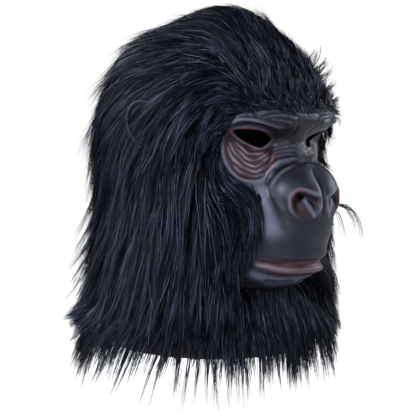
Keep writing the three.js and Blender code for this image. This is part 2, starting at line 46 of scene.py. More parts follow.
# Plan sections: drop is a share of the mask's drop, and the rest are shares of its half width, back and front.
headSections = {
    "drop": [-.006, .006, .024, .048, .084, .143, .224, .307, .385, .466, .555, .645, .734, .815, .896, 1],
    "side": [0, .16, .28, .43, .59, .76, .9, .98, 1, 1, .99, .98, .955, .955, .99, 1.05],
    "back": [0, .24, .39, .55, .75, .91, .975, 1, 1, .985, .96, .925, .9, .89, .915, .96],
    "front": [0, .17, .29, .4, .53, .7, .88, 1, .87, .83, .81, .77, .7, .65, .69, .77],
}
muzzleSections = {
    "drop": [.33, .375, .412, .442, .475, .52, .585, .645, .693, .734, .768, .79, .815, .85],
    "lift": [0, .12, .34, .6, .83, .97, 1, .99, .91, .85, .8, .58, .2, 0],
    "spread": [10, 10, 12, 16, 20, 24, 26, 27, 27, 26, 25, 24, 22, 22],
}
furSections = {
    "drop": [-.03, -.02, .006, .036, .084, .145, .236, .315, .382, .47, .57, .67, .76, .88, .93, .945],
    "side": [0, .13, .38, .59, .8, .97, 1.13, 1.22, 1.25, 1.26, 1.26, 1.3, 1.36, 1.42, 1.46, 1.42],
    "back": [0, .11, .33, .56, .95, 1.13, 1.27, 1.32, 1.33, 1.33, 1.31, 1.32, 1.38, 1.45, 1.55, 1.51],
    "front": [0, .24, .4, .45, .63, .8, 1, 1.09, 1.11, 1.04, 1.03, 1.04, 1.02, .98, 1, .98],
}
faceWindow = {
    "drop": [.276, .282, .3, .325, .375, .406, .467, .5, .53, .565, .615, .67, .712, .765, .79, .803, .806],
    "angle": [2, 22, 31, 37, 43, 44.5, 40.5, 32, 25, 24.5, 27, 31, 35, 39.5, 37, 22, 2],
}
# Moulded forms: degrees round and degrees wide, drop and height as shares, then how far out and down
reliefForms = [
    (10, 12, .325, .03, .6, .2),  # brow ridge, inner
    (32, 14, .312, .03, .72, .2),  # brow ridge, outer
    (46, 6, .345, .045, .4, 0),
    (27, 11, .376, .024, -1.0, 0),  # eye socket
    (17, 4.5, .385, .022, -.5, 0),  # its inner corner
    (31, 11, .455, .03, .12, 0),  # eye bag
    (36, 9, .515, .025, .4, 0),  # cheek bone
    (21.5, 4, .5, .05, -.35, 0),  # dip beside the nose
    (0, 8, .468, .05, -.75, 0),  # dip between the nose's halves
    (6, 16, .7, .016, .32, .3),  # upper lip
    (9, 18, .728, .008, -.15, 0),  # mouth
    (8, 14, .742, .017, .5, .3),  # lower lip
    (0, 16, .772, .008, -.2, 0),
]
# Outlines on the face, traced on one side: degrees from the middle and millimetres under the crown
faceOutlines = {
    "nose": [(-1, 145), (4, 147), (8.6, 148.5), (13.7, 151.5), (17.8, 158), (20.4, 167), (20.8, 177),
             (19.2, 187), (17.2, 194), (14, 199.5), (8, 203), (-1, 205)],
    "nostril": [(13.8, 185), (13.6, 178), (11.5, 172.5), (8.5, 173.5), (5, 176.5), (2.2, 180), (2.4, 187),
                (4, 196), (7, 200), (10.5, 197), (13, 191)],
    "eyeHole": [(37.9, 116), (34.6, 114.2), (27.7, 114.5), (21, 117.3), (15.6, 122.6), (14.6, 125),
                (16.6, 128.6), (20, 131), (24.3, 130.3), (29.5, 126), (35, 120.5)],
}
lidLine = [(38.5, 116), (35.5, 121.5), (29.5, 127), (24.3, 131.6), (20, 132.6), (15.5, 129.5), (13.2, 125)]
bagRim = [(41.4, 118), (42.8, 127), (42.9, 136), (41.4, 145), (38.6, 153.2), (35, 159.2), (30, 163),
          (24.6, 163), (20, 158.6), (15.8, 149.5), (12.5, 142), (9.6, 138)]
orbitRidge = [(40.5, 112), (38.1, 106.4), (34.3, 103.6), (30.4, 103.8), (23.5, 107.2), (17.6, 110.4),
              (10.3, 112.5)]
# Moulded lines: width and height in millimetres, a groove goes below zero
faceLines = [
    (1.9, 1.3, bagRim),
    (1.6, 1.7, orbitRidge),
    (1.6, -1.3, [(37, 112.2), (33, 109.4), (27, 109.6), (20, 112.6), (14, 116.5)]),
    (1.1, -.7, [(0, 144), (0, 155), (0, 170), (0, 192)]),
    (1.2, 1.1, [(20.8, 172.7), (19.2, 165), (16.2, 157), (11.7, 151), (8.2, 148.2), (5.2, 148.2)]),
    (1.2, -1.1, [(21.9, 169.6), (20.3, 160.1), (16.7, 152.6), (11.8, 147.5), (7, 145.6)]),
    (1.2, 1.0, [(21.9, 163.4), (19.7, 154.8), (15.3, 146.6), (9.5, 142.9), (3.5, 141.9)]),
    (1.1, 1.0, [(19, 151), (16, 143.6), (11, 138.9), (4.5, 137.7)]),
    (1.1, .9, [(17, 143.4), (13.4, 137.2), (8.4, 134.6), (3, 134.1)]),
    (1.1, .8, [(14.8, 135.8), (11, 132), (6.4, 130.4), (2.5, 130.2)]),
    (1.1, .7, [(13, 130.2), (9, 127.6), (5, 126.8)]),
    (2.2, -.7, [(6.4, 107), (5.6, 114), (6.5, 121)]),
    (1.0, 1.5, [(24, 101.6), (18, 100.6), (12, 101.4), (7, 103.6)]),
    (1.0, 1.3, [(21, 104.4), (15, 105), (10, 107.4)]),
    (1.0, 1.2, [(29, 98.8), (22, 97.4), (15, 97.6)]),
    (1.0, 1.2, [(38, 101.6), (34, 99.6), (29, 100)]),
    (1.0, .9, [(8, 99), (3, 100), (0, 100)]),
    (1.0, -.8, [(14.2, 199.4), (13.6, 200.2), (12.9, 200.6)]),
    (3.0, 2.3, [(9.4, 177), (7.8, 183), (5.8, 189.5), (3.4, 198)]),
    (1.2, .5, [(1.6, 184), (1.4, 192), (2.2, 201)]),
    (3.2, -1.0, [(20.6, 176), (19.6, 184), (18, 193), (16.4, 202), (15.6, 210)]),
    (2.2, -1.2, [(29, 231), (27.6, 238), (28, 246)]),
    (2.0, -1.2, [(20, 257), (12, 258.6), (0, 258.4)]),
]
# Moulding of the face: heights in metres, the rest in millimetres
nose = {"swell": 0.0046, "softness": 4.2, "valley": 0.0021, "valleyWidth": 3.4}
nostril = {"depth": 0.0080, "softness": 2.0, "rim": 0.0007, "pit": 0.004, "pitWidth": 3.2,
           "pitLine": [(19.5, -176.2), (20.5, -177.2)], "hole": (20, -176.7), "holeRadius": 2.2}
nostrilRidge = [(9, 177), (7.6, 182.5), (5.6, 189), (3.2, 195)]
eyeBag = {"folds": 6.5, "height": 0.0016, "lid": 0.0008}
dryPaintAndShade = {"ridge": 0.00042, "groove": 0.0005, "sharpness": 1.5, "blurs": 5}
lips = {"slit": 240.4, "bow": 3.6, "roll": 0.0013, "groove": 0.0012}
# Strokes of paint: strength, width in millimetres and the line that each follows; the grey ones are painted
# highlights, partly grey paint on the cheek and painted light from below on the jaw, and the shade ones are
# painted shade
greyAndHighlightStrokes = [
    (0.95, 9.5, [(24, 172), (24, 186), (22.8, 196), (20.6, 206)]),  # cheek
    (0.3, 4, [(15.6, 170), (14.6, 174), (13, 176)]),  # lobe of the nose
    (0.8, 4, [(26, 250), (14, 255.5), (0, 256)]),  # jaw
]
shadeStrokes = [
    (0.75, 7, [(18, 117.5), (11, 120.5), (4, 121.5), (0, 121.5)]),  # inner corners of the eyes
    (0.45, 8, [(24, 104), (14, 108), (5, 111), (0, 111)]),  # under the brow
    (0.6, 3.6, [(20.6, 178), (19.4, 186), (17.6, 196), (16, 205)]),  # beside the nose
]
flatScale = 2.05  # millimetres of face in one degree


def smoothColumn(rows, name, place):
    # Catmull-Rom curve through one column of a table; place counts rows
    values = np.array(rows[name], float)
    last = len(values) - 1
    i = np.clip(np.floor(place).astype(int), 0, last - 1)
    t = place - i
    a, b, c, d = (values[np.clip(i + k, 0, last)] for k in (-1, 0, 1, 2))
    return b + 0.5 * t * (c - a + t * (2 * a - 5 * b + 4 * c - d + t * (3 * (b - c) + d - a)))


def fineColumn(rows, name, count):
    # the curve through a column, read at evenly spaced places from its first row to its last
    return smoothColumn(rows, name, np.linspace(0, len(rows[name]) - 1, count))


def placeAt(rows, drop):
    # the place in a table where its drop has a value, read off a fine list of the curve
    places = np.linspace(0, len(rows["drop"]) - 1, 3000)
    return np.interp(drop, smoothColumn(rows, "drop", places), places)


def bell(x):
    return np.exp(-x * x)


def ease(x):
    x = np.clip(x, 0, 1)
    return x * x * (3 - 2 * x)


def fadeIn(x, start, length):
    return ease((x - start) / length)


def fadeOut(x, end, length):
    return ease((end - x) / length)


def unit(vectors):
    return vectors / np.maximum(np.linalg.norm(vectors, axis=-1, keepdims=True), 1e-12)


def turnOf(points):
    # degrees round the axis from the middle of the face, towards the mask's own left
    return np.degrees(np.arctan2(points[..., 0], -points[..., 1]))


def sectionRadius(rows, place, angle):
    # distance from the axis: |sin/side|^n + |cos/reach|^n = 1, n is 2 behind and squarer in front
    sine, cosine = np.abs(np.sin(angle)), np.cos(angle)
    side = smoothColumn(rows, "side", place) * mask["halfWidth"]
    front = smoothColumn(rows, "front", place) * mask["front"]
    back = smoothColumn(rows, "back", place) * mask["back"]
    reach = np.where(cosine > 0, front, back)
    n = np.where(cosine > 0, mask["squareness"], 2)
    safeSide, safeReach = np.maximum(side, 1e-9), np.maximum(reach, 1e-9)
    return ((sine / safeSide) ** n + (np.abs(cosine) / safeReach) ** n) ** (-1 / n)


def latexForm(angle, drop):
    # outer surface of the latex: its section, the muzzle's bump exp(-(angle/spread)^2.6) and the moulded forms
    place = placeAt(headSections, drop)
    radius = sectionRadius(headSections, place, angle)
    degrees = np.abs(np.degrees(angle))
    row = placeAt(muzzleSections, drop)
    lift = np.maximum(smoothColumn(muzzleSections, "lift", row), 0) * mask["muzzleLift"]
    spread = smoothColumn(muzzleSections, "spread", row)
    radius = radius + lift * np.exp(-((degrees / spread) ** 2.6))
    sag = np.zeros_like(radius)
    for at, wide, height, tall, out, down in reliefForms:
        across = np.minimum(bell((degrees - at) / wide) + bell((degrees + at) / wide) * (at > 0), 1)
        weight = across * bell((drop - height) / tall)
        radius = radius + out * mask["relief"] * weight
        sag = sag + down * mask["relief"] * weight
    return radius, -drop * mask["drop"] - sag


def laidFlat(angle, drop):
    # one side of the face laid flat in millimetres: round from the middle, and up from the crown
    return np.stack([np.abs(np.degrees(angle)) * flatScale, -drop * mask["drop"] * 1000], -1)


def finerLine(points, count=40):
    # a smooth curve through the points, in millimetres on the face laid flat
    rows = {"u": [p[0] * flatScale for p in points], "v": [-p[1] for p in points]}
    return np.stack([fineColumn(rows, "u", count), fineColumn(rows, "v", count)], -1)


def lineDistance(flat, line):
    # distance to the nearest piece of the line, and how far along the line that is
    best = np.full(len(flat), 1e9)
    along = np.zeros(len(flat))
    for k in range(len(line) - 1):
        a, b = line[k], line[k + 1]
        t = np.clip(((flat - a) @ (b - a)) / max(np.dot(b - a, b - a), 1e-9), 0, 1)
        distance = np.linalg.norm(flat - a - t[:, None] * (b - a), axis=1)
        near = distance < best
        best = np.where(near, distance, best)
        along = np.where(near, (k + t) / (len(line) - 1), along)
    return best, along


def insideOutline(flat, line):
    # even-odd rule: how many edges a ray to the right crosses
    crossings = np.zeros(len(flat), int)
    for a, b in zip(line, np.roll(line, -1, axis=0)):
        straddles = (a[1] > flat[:, 1]) != (b[1] > flat[:, 1])
        at = a[0] + (flat[:, 1] - a[1]) / ((b[1] - a[1]) or 1e-9) * (b[0] - a[0])
        crossings += straddles & (flat[:, 0] < at)
    return crossings % 2 == 1


def outlineDepth(flat, name, isOpen=False):
    # millimetres inside an outline, below zero outside it; an open one is measured without its closing side
    line = finerLine(faceOutlines[name] + faceOutlines[name][:1], 60)
    distance, _ = lineDistance(flat, finerLine(faceOutlines[name], 60) if isOpen else line)
    return np.where(insideOutline(flat, line[:-1]), distance, -distance)


def nearLine(face, points, count=40):
    return lineDistance(face["flat"], finerLine(points, count))


def paintOver(face, name, values):
    face[name] = np.maximum(face[name], values)


def mouldNose(face):
    # swell * (1 - exp(-depth / softness)), fading into the lip, with a valley down its middle
    across, v = face["flat"][:, 0], face["v"]
    depth = np.maximum(outlineDepth(face["flat"], "nose", True), 0)
    face["height"] += nose["swell"] * (1 - np.exp(-depth / nose["softness"])) * fadeOut(v, 200, 16)
    valley = nose["valley"] * bell(across / nose["valleyWidth"])
    face["height"] -= valley * fadeIn(v, 149, 14) * fadeOut(v, 197, 12)


def mouldNostril(face):
    # scooped out in the same way, deepest at its hole; painted shade within, strongest towards its top, with a
    # red edge
    u, v = face["u"], face["v"]
    depth = outlineDepth(face["flat"], "nostril")
    scoop = 1 - np.exp(-np.maximum(depth, 0) / nostril["softness"])
    face["height"] -= nostril["depth"] * scoop * fadeOut(v, 200, 21)
    face["height"] += nostril["rim"] * bell((depth + 1.3) / 1.2) * fadeOut(v, 196, 10)
    hole, _ = lineDistance(face["flat"], np.array(nostril["pitLine"]))
    face["height"] -= nostril["pit"] * bell(hole / nostril["pitWidth"])
    paintOver(face, "paintedShade", 0.92 * ease(depth / 2.4) * fadeOut(v, 194, 14))
    edge = 0.85 * bell((depth + 0.2) / 1.1) * fadeOut(v, 197, 9)
    paintOver(face, "red", edge * (0.3 + 0.7 * fadeIn(u, 5, 5)))
    paintOver(face, "red", 0.22 * ease(depth / 2) * fadeOut(v, 200, 10))


def mouldEyeBag(face):
    # folds run between the lower lid and the bag's rim, closer together towards its corners
    across, up = face["flat"].T
    lid, _ = nearLine(face, lidLine)
    rim, _ = nearLine(face, bagRim)
    inBag = insideOutline(face["flat"], np.concatenate([finerLine(lidLine, 30), finerLine(bagRim, 50)[::-1]]))
    corner, _ = nearLine(face, [lidLine[-1], bagRim[-1]], 4)
    inner = ease(corner / 11)
    share = lid / (lid + rim + 1e-6)
    bent = share + 0.02 * np.sin(across * 0.16 + 5 * share) + 0.009 * np.sin(across * 0.43 + up * 0.2)
    wave = np.abs(np.sin(np.pi * eyeBag["folds"] * bent))
    uneven = (0.75 + 0.25 * np.sin(across * 0.27 + 9 * share)) * fadeIn(lid + rim, 11, 10)
    folds = eyeBag["height"] * (wave**0.7 - 0.6) * uneven * ease(share * 5) * ease((1 - share) * 5) * inner
    face["height"] += np.where(inBag, folds, 0)
    face["bag"] = np.where(inBag, ease(rim / 2.6) * inner, 0)


def mouldLids(face):
    # a raised edge round the eye hole, painted red above, with a painted shadow along it below
    depth = outlineDepth(face["flat"], "eyeHole")
    face["height"] += eyeBag["lid"] * bell((depth + 1.6) / 1.2)
    upperLid = face["v"] < np.interp(face["u"], [14, 21, 28, 35, 38], [123.7, 119.2, 116.4, 116.4, 117.8])
    paintOver(face, "red", bell((depth + 0.7) / 1.1) * upperLid)
    paintOver(face, "paintedShade", 0.85 * bell((depth + 0.4) / 1.0) * ~upperLid)


def mouldLines(face):
    for width, tall, points in faceLines:
        distance, place = nearLine(face, points)
        taper = ease(place * 5) * ease((1 - place) * 5)
        face["height"] += 0.001 * tall * bell(distance / width) * taper


def paintGreyAndHighlights(face):
    # painted highlights in soft grey strokes, partly grey paint on the cheek, and on the ridge inside the
    # nostril, which is free of the painted shade and red round it
    for strength, width, points in greyAndHighlightStrokes:
        face["greyPaintAndHighlight"] += strength * bell(nearLine(face, points)[0] / width)
    distance, place = nearLine(face, nostrilRidge)
    ridge = 0.95 * bell(distance / 2.4) * ease(place * 4) * ease((1 - place) * 3)
    paintOver(face, "greyPaintAndHighlight", ridge)
    face["paintedShade"] = face["paintedShade"] * (1 - ridge)
    face["red"] = face["red"] * (1 - ridge)


def mouldLips(face):
    # the slit is open towards its corners and closed in the middle, and the lower lip rolls out below it
    u = face["u"]
    below = face["v"] - (lips["slit"] - lips["bow"] * (u / 24.5) ** 2)
    ends = fadeOut(u, 26.3, 3.2)
    split = ends * fadeIn(u, 11, 4)
    parted = 0.35 * ends + 0.65 * split
    roll = 7.8 * np.sqrt(np.clip(1 - (u / 27) ** 2, 0, 1)) + 0.8
    lower = ease((below + 0.2) / 1.0) * ease((roll - below) / 1.8)
    upper = bell((below + 1.4) / 1.9) * (below <= 0)
    face["lip"] = np.maximum(lower, 0.8 * upper) * ends
    face["height"] += lips["roll"] * bell((below - 3.8) / 2.8) * ends
    face["height"] -= lips["groove"] * bell(below / 0.9) * parted
    paintOver(face, "red", bell((below - 1.1) / 0.8) * parted)
    paintOver(face, "red", 0.4 * bell((below - 7.4) / 1.2) * ends)
    # painted shade in the open slit and under the lower lip
    paintOver(face, "paintedShade", bell((below + 0.1) / 0.8) * split)
    paintOver(face, "paintedShade", 0.6 * bell((below - 9.6) / 1.0) * ends)
    # a painted highlight along the lower lip
    glint = bell((below - 3.4) / 1.2) * fadeOut(u, 25, 4) * (0.35 + 0.65 * fadeIn(u, 9, 6))
    face["greyPaintAndHighlight"] = np.maximum(face["greyPaintAndHighlight"] * (1 - face["lip"]), 0.6 * glint)


def paintShade(face):
    # painted shade in the inner corners of the eyes, under the brow and beside the nose
    for strength, width, points in shadeStrokes:
        paintOver(face, "paintedShade", strength * bell(nearLine(face, points)[0] / width))


def faceDetail(angle, drop):
    # the finer moulding as a height over the latex form, and masks for the paint, the painted shade and the
    # painted highlights; worked out on one side
    flat = laidFlat(angle, drop).reshape(-1, 2)
    near = (flat[:, 0] < 52 * flatScale) & (flat[:, 1] < -85) & (flat[:, 1] > -290)
    kinds = ("height", "bag", "lip", "paintedShade", "red", "greyPaintAndHighlight")
    face = {name: np.zeros(near.sum()) for name in kinds}
    face["flat"] = flat[near]
    face["u"], face["v"] = flat[near][:, 0] / flatScale, -flat[near][:, 1]
    steps = (mouldNose, mouldNostril, mouldEyeBag, mouldLids, mouldLines, paintGreyAndHighlights, mouldLips, paintShade)
    for step in steps:
        step(face)
    detail = {name: np.zeros(angle.shape) for name in kinds}
    for name in kinds:
        detail[name][near.reshape(angle.shape)] = face[name]
    return detail


def blurred(grid):
    # each value mixed with its neighbours: 1 to 2 to 1 round and down
    grid = (np.roll(grid, 1, 1) + 2 * grid + np.roll(grid, -1, 1)) / 4
    padded = np.concatenate([grid[:1], grid, grid[-1:]])
    return (padded[:-2] + 2 * padded[1:-1] + padded[2:]) / 4


def crestMask(height):
    # where the moulding stands above its own blurred copy, so that dry paint would catch it, and the reverse,
    # the grooves, which get painted shade
    soft = height
    for _ in range(dryPaintAndShade["blurs"]):
        soft = blurred(soft)
    above = height - soft
    ridge = blurred(ease(above / dryPaintAndShade["ridge"])) ** dryPaintAndShade["sharpness"]
    return ridge, blurred(ease(-above / dryPaintAndShade["groove"]))


def furForm(angle, drop):
    # outer surface of the pile: close to the latex round the face, and at full depth away from it
    place = placeAt(furSections, drop)
    radius = sectionRadius(furSections, place, angle)
    top, bottom = faceWindow["drop"][1], faceWindow["drop"][-2]
    degrees = np.abs(np.degrees(angle))
    row = placeAt(faceWindow, np.maximum(drop, top))
    aside = np.maximum(degrees - smoothColumn(faceWindow, "angle", row), 0) / mask["edgeSpread"]
    above = np.maximum(top - drop, 0) / mask["edgeRise"]
    below = np.maximum(drop - bottom, 0) / mask["edgeRise"]
    away = np.minimum(np.sqrt(aside**2 + above**2 + below**2), 1)
    recess = mask["beardRecess"] * bell(degrees / mask["beardHalfAngle"]) * np.minimum(below, 1)
    radius = radius - np.where(below > 0, recess, 0)
    skin = latexForm(angle, drop)[0]
    close = np.minimum(skin + mask["edgePile"], radius)
    eased = close + (radius - close) * away * away * (3 - 2 * away)
    return np.where(degrees < 90, eased, radius)


def onAxis(radius, angle, height):
    return np.stack(np.broadcast_arrays(radius * np.sin(angle), -radius * np.cos(angle), height), axis=-1)


def gridNormals(points):
    # outward normals of a grid that closes round the axis: rows go down, columns go round
    down = np.gradient(points, axis=0)
    across = np.roll(points, -1, axis=1) - np.roll(points, 1, axis=1)
    normal = unit(np.cross(down, across))
    facing = np.sum(normal * points * [1, 1, 0], axis=-1, keepdims=True)
    return np.where(facing < 0, -normal, normal)


def gridFaces(rows, columns):
    # quads between rows of points that close up round the axis, each row below the last
    i, j = np.meshgrid(np.arange(rows - 1), np.arange(columns), indexing="ij")
    right = (j + 1) % columns
    upper, lower = i * columns, (i + 1) * columns
    return np.stack([upper + j, lower + j, lower + right, upper + right], -1).reshape(-1, 4)


def poleFaces(columns, pole):
    # triangles from a grid's first row to the point at its middle
    first = np.arange(columns)
    return np.stack([np.full(columns, pole), first, (first + 1) % columns], -1)


def addObject(name, data):
    holder = bpy.data.objects.new(name, data)
    bpy.context.scene.collection.objects.link(holder)
    return holder


def makeMesh(name, points, faces):
    # a mesh from arrays; faces is a list of arrays, each of faces with the same number of corners
    mesh = bpy.data.meshes.new(name)
    mesh.vertices.add(len(points))
    mesh.vertices.foreach_set("co", np.ascontiguousarray(points, dtype=np.float32).ravel())
    corners = np.concatenate([f.ravel() for f in faces]).astype(np.int32)
    sizes = np.concatenate([np.full(len(f), f.shape[1]) for f in faces])
    starts = np.concatenate([[0], np.cumsum(sizes)[:-1]]).astype(np.int32)
    mesh.loops.add(len(corners))
    mesh.loops.foreach_set("vertex_index", corners)
    mesh.polygons.add(len(starts))
    mesh.polygons.foreach_set("loop_start", starts)
    mesh.polygons.foreach_set("use_smooth", np.full(len(starts), True))
    mesh.update(calc_edges=True)
    mesh.validate()
    return addObject(name, mesh)


def addAttribute(piece, name, values):
    attribute = piece.data.attributes.new(name, "FLOAT", "POINT")
    attribute.data.foreach_set("value", np.ascontiguousarray(values, dtype=np.float32).ravel())


def thicken(piece, thickness):
    wall = piece.modifiers.new("wall", "SOLIDIFY")
    wall.thickness = thickness
    wall.offset = -1


print("latex head")

latex = {"fineAngle": 26, "fineColumns": 62, "faceAngle": 46, "faceColumns": 32, "restColumns": 34,
         "crownRows": 14, "faceRows": 120, "lipRows": 54, "neckRows": 12}


def latexGrid():
    # angles round and drops down, closest together on the face
    fine, face = np.radians(latex["fineAngle"]), np.radians(latex["faceAngle"])
    half = np.concatenate([
        np.linspace(0, fine, latex["fineColumns"], endpoint=False),
        np.linspace(fine, face, latex["faceColumns"]),
    ])
    rest = np.linspace(face, 2 * np.pi - face, latex["restColumns"] + 1)[1:-1]
    angles = np.concatenate([-half[:0:-1], half, rest])
    drops = np.concatenate([
        (np.linspace(0.02, 1, latex["crownRows"]) ** 1.4)[:-1] * 0.27,
        np.linspace(0.27, 0.64, latex["faceRows"], endpoint=False),
        np.linspace(0.64, 0.84, latex["lipRows"], endpoint=False),
        np.linspace(0.84, 1, latex["neckRows"]),
    ])
    return np.meshgrid(np.where(angles > np.pi, angles - 2 * np.pi, angles), drops)


def cutHoles(angle, drop, faces):
    # takes out the faces of the eye and nostril holes and draws the edge's points onto the outlines
    keep = np.ones(len(faces), bool)
    spots = laidFlat(angle, drop).reshape(-1, 2)
    middle = spots[faces].mean(1)
    ring = np.linspace(0, 2 * np.pi, 25)
    circle = np.stack([np.cos(ring), np.sin(ring)], -1)
    outlines = [
        finerLine(faceOutlines["eyeHole"] + faceOutlines["eyeHole"][:1], 160),
        np.array(nostril["hole"]) + nostril["holeRadius"] * circle,
    ]
    for line in outlines:
        inside = insideOutline(middle, line[:-1])
        edge = np.intersect1d(faces[inside], faces[~inside])
        nearest = np.argmin(np.linalg.norm(spots[edge, None] - line[None], axis=-1), axis=1)
        spots[edge] = line[nearest]
        keep &= ~inside
    angle = np.radians(spots[:, 0].reshape(angle.shape) / flatScale) * np.where(angle < 0, -1, 1)
    return angle, -spots[:, 1].reshape(drop.shape) / (mask["drop"] * 1000), faces[keep]


def latexHead():
    angle, drop = latexGrid()
    rows, columns = angle.shape
    angle, drop, faces = cutHoles(angle, drop, gridFaces(rows, columns))
    masks = faceDetail(angle, drop)
    height = masks.pop("height")
    # dry paint on the moulding's crests, and painted shade in its grooves
    masks["dryPaintAndHighlight"], masks["groove"] = crestMask(height)
    masks["neck"] = fadeIn(drop, 0.88, 0.06)
    radius, level = latexForm(angle, drop)
    points = onAxis(radius, angle, level)
    points = points + gridNormals(points) * height[..., None]
    top = np.array([[0, 0, mask["wall"]]])
    cap = poleFaces(columns, rows * columns)
    piece = makeMesh("latexHead", np.concatenate([points.reshape(-1, 3), top]), [faces, cap])
    for name, values in masks.items():
        addAttribute(piece, name, np.concatenate([values.ravel(), [0]]))
    thicken(piece, mask["wall"])
    return piece


ear = {"height": 0.042, "length": 0.029, "side": 0.0968, "back": 0.005, "drop": 0.108, "turn": 28,
       "rows": 56, "columns": 48}
# Profile of an ear from the middle over the rim to its root: share of its half size, millimetres out
earProfile = {
    "share": [.02, .3, .52, .62, .7, .78, .86, .94, 1, 1.03, .98, .8, .6, .5],
    "out": [-1, -1.6, .2, 3, 3.2, 2.4, 4.4, 6.6, 6.2, 4.2, .5, -3.5, -8, -14],
}


def latexEar(side):
    # the profile carried round an oval, wider above than below, then turned to open forwards
    share = fineColumn(earProfile, "share", ear["rows"])[:, None]
    out = fineColumn(earProfile, "out", ear["rows"])[:, None] / 1000
    turn = np.linspace(0, 2 * np.pi, ear["columns"], endpoint=False)[None]
    wide = ear["length"] / 2 * (1 + 0.16 * np.sin(turn))
    across = share * wide * np.cos(turn)
    up = share * ear["height"] / 2 * np.sin(turn)
    # the rim is lower in front, where it runs into the cheek
    out = out * (1 - 0.45 * ease(-np.cos(turn)) * (out > 0))
    swing = np.radians(ear["turn"])
    x = side * (ear["side"] + out * np.cos(swing) + across * np.sin(swing))
    y = ear["back"] - out * np.sin(swing) + across * np.cos(swing)
    points = np.stack([x, y, -ear["drop"] + up], -1)
    rows, columns = points.shape[:2]
    faces = [gridFaces(rows, columns), poleFaces(columns, rows * columns)]
    if side > 0:
        faces = [f[:, ::-1] for f in faces]
    middle = points[0].mean(axis=0, keepdims=True)
    name = "latexEar" + ("Left" if side > 0 else "Right")
    piece = makeMesh(name, np.concatenate([points.reshape(-1, 3), middle]), faces)
    # a painted highlight along the rim, laid on with the head's dry paint
    rimLight = 0.2 * bell((np.broadcast_to(share, up.shape) - 0.95) / 0.07)
    addAttribute(piece, "dryPaintAndHighlight", np.concatenate([rimLight.ravel(), [0]]))
    return piece


ears = [latexEar(-1), latexEar(1)]
head = latexHead()

print("fur surfaces")

# The fur's outer surface and the latex under it as distances from a spine: level with the spine below its top,
# and all round its top above. Rows count down from the crown.
spine = {"top": -0.10, "capRows": 60, "bodyRows": 90, "columns": 360}


def spineMap(radius, height):
    # radius and height are (rows, columns) going down; returns the distance on the spine's own rows
    top = spine["top"]
    lowest = -mask["hem"] * mask["drop"]
    tilts = np.linspace(np.pi / 2, 0, spine["capRows"], endpoint=False)
    levels = np.linspace(top, lowest, spine["bodyRows"])
    table = np.empty((len(tilts) + len(levels), radius.shape[1]))
    for column in range(radius.shape[1]):
        r, z = radius[:, column], height[:, column]
        tilt = np.arctan2(z - top, r)
        far = np.hypot(z - top, r)
        upper = z > top - 0.03
        table[: len(tilts), column] = np.interp(-tilts, -tilt[upper], far[upper])
        table[len(tilts):, column] = np.interp(-levels, -z, r)
    return table


def mapSurfaces():
    columns = np.linspace(-np.pi, np.pi, spine["columns"], endpoint=False)
    angle, drop = np.meshgrid(columns, fineColumn(furSections, "drop", 400)[1:])
    furTable = spineMap(furForm(angle, drop), -drop * mask["drop"])
    angle, drop = np.meshgrid(columns, fineColumn(headSections, "drop", 400)[1:])
    radius, height = latexForm(angle, drop)
    # the height may never rise again on its way down, or it couldn't be looked up
    height = np.minimum.accumulate(height - 1e-7 * np.arange(len(drop))[:, None], axis=0)
    return furTable, np.minimum(spineMap(radius, height), furTable - 0.002)


furTable, latexTable = mapSurfaces()


def spinePlace(points):
    # row and column of points in the maps, and the direction from the spine
    top = spine["top"]
    flat = np.hypot(points[..., 0], points[..., 1])
    rise = points[..., 2] - top
    tilt = np.arctan2(np.maximum(rise, 0), flat)
    capRow = (np.pi / 2 - tilt) / (np.pi / 2) * spine["capRows"]
    step = (-mask["hem"] * mask["drop"] - top) / (spine["bodyRows"] - 1)
    row = np.where(rise > 0, capRow, spine["capRows"] + rise / step)
    angle = np.arctan2(points[..., 0], -points[..., 1])
    column = (angle + np.pi) / (2 * np.pi) * spine["columns"]
    centre = np.zeros_like(points)
    centre[..., 2] = np.minimum(points[..., 2], top)
    return row, column, centre, unit(points - centre)


def readMap(table, row, column):
    # straight-line mix of the four nearest entries
    rows, columns = table.shape
    row = np.clip(row, 0, rows - 1.001)
    i, j = np.floor(row).astype(int), np.floor(column).astype(int)
    s, t = row - i, column - j
    j0, j1 = j % columns, (j + 1) % columns
    upper = table[i, j0] * (1 - t) + table[i, j1] * t
    lower = table[i + 1, j0] * (1 - t) + table[i + 1, j1] * t
    return upper * (1 - s) + lower * s


def onPile(points, share):
    # points moved along their own outward line to a share of the pile's depth over the latex
    row, column, centre, outward = spinePlace(points)
    inner = readMap(latexTable, row, column)
    outer = readMap(furTable, row, column)
    distance = inner + (outer - inner) * share
    return centre + outward * distance[..., None]


def windowOutline():
    # the face opening laid flat in millimetres, right side then left side and back to its first point
    u = fineColumn(faceWindow, "angle", 90) * flatScale
    v = -fineColumn(faceWindow, "drop", 90) * mask["drop"] * 1000
    return np.concatenate([np.stack([u, v], -1), np.stack([-u, v], -1)[::-1], [[u[0], v[0]]]])


openingLoop = windowOutline()


def faceFlat(points):
    # points laid flat: degrees from the middle times the scale, and millimetres up from the crown
    return np.stack([turnOf(points) * flatScale, points[..., 2] * 1000], -1)


def windowGap(points):
    # millimetres outside the face opening, negative inside it
    flat = faceFlat(points)
    distance, _ = lineDistance(flat, openingLoop)
    return np.where(insideOutline(flat, openingLoop[:-1]), -distance, distance)


print("fur backing")

# depth and edgeDepth are shares of the pile, edgeWidth, snap and overlap are millimetres at the face opening
backing = {"columns": 150, "capRows": 27, "bodyRows": 55, "depth": 0.42, "edgeDepth": 0.02, "edgeWidth": 22,
           "snap": 3.2, "overlap": 0.6, "thickness": 0.0015, "bottom": -0.292}


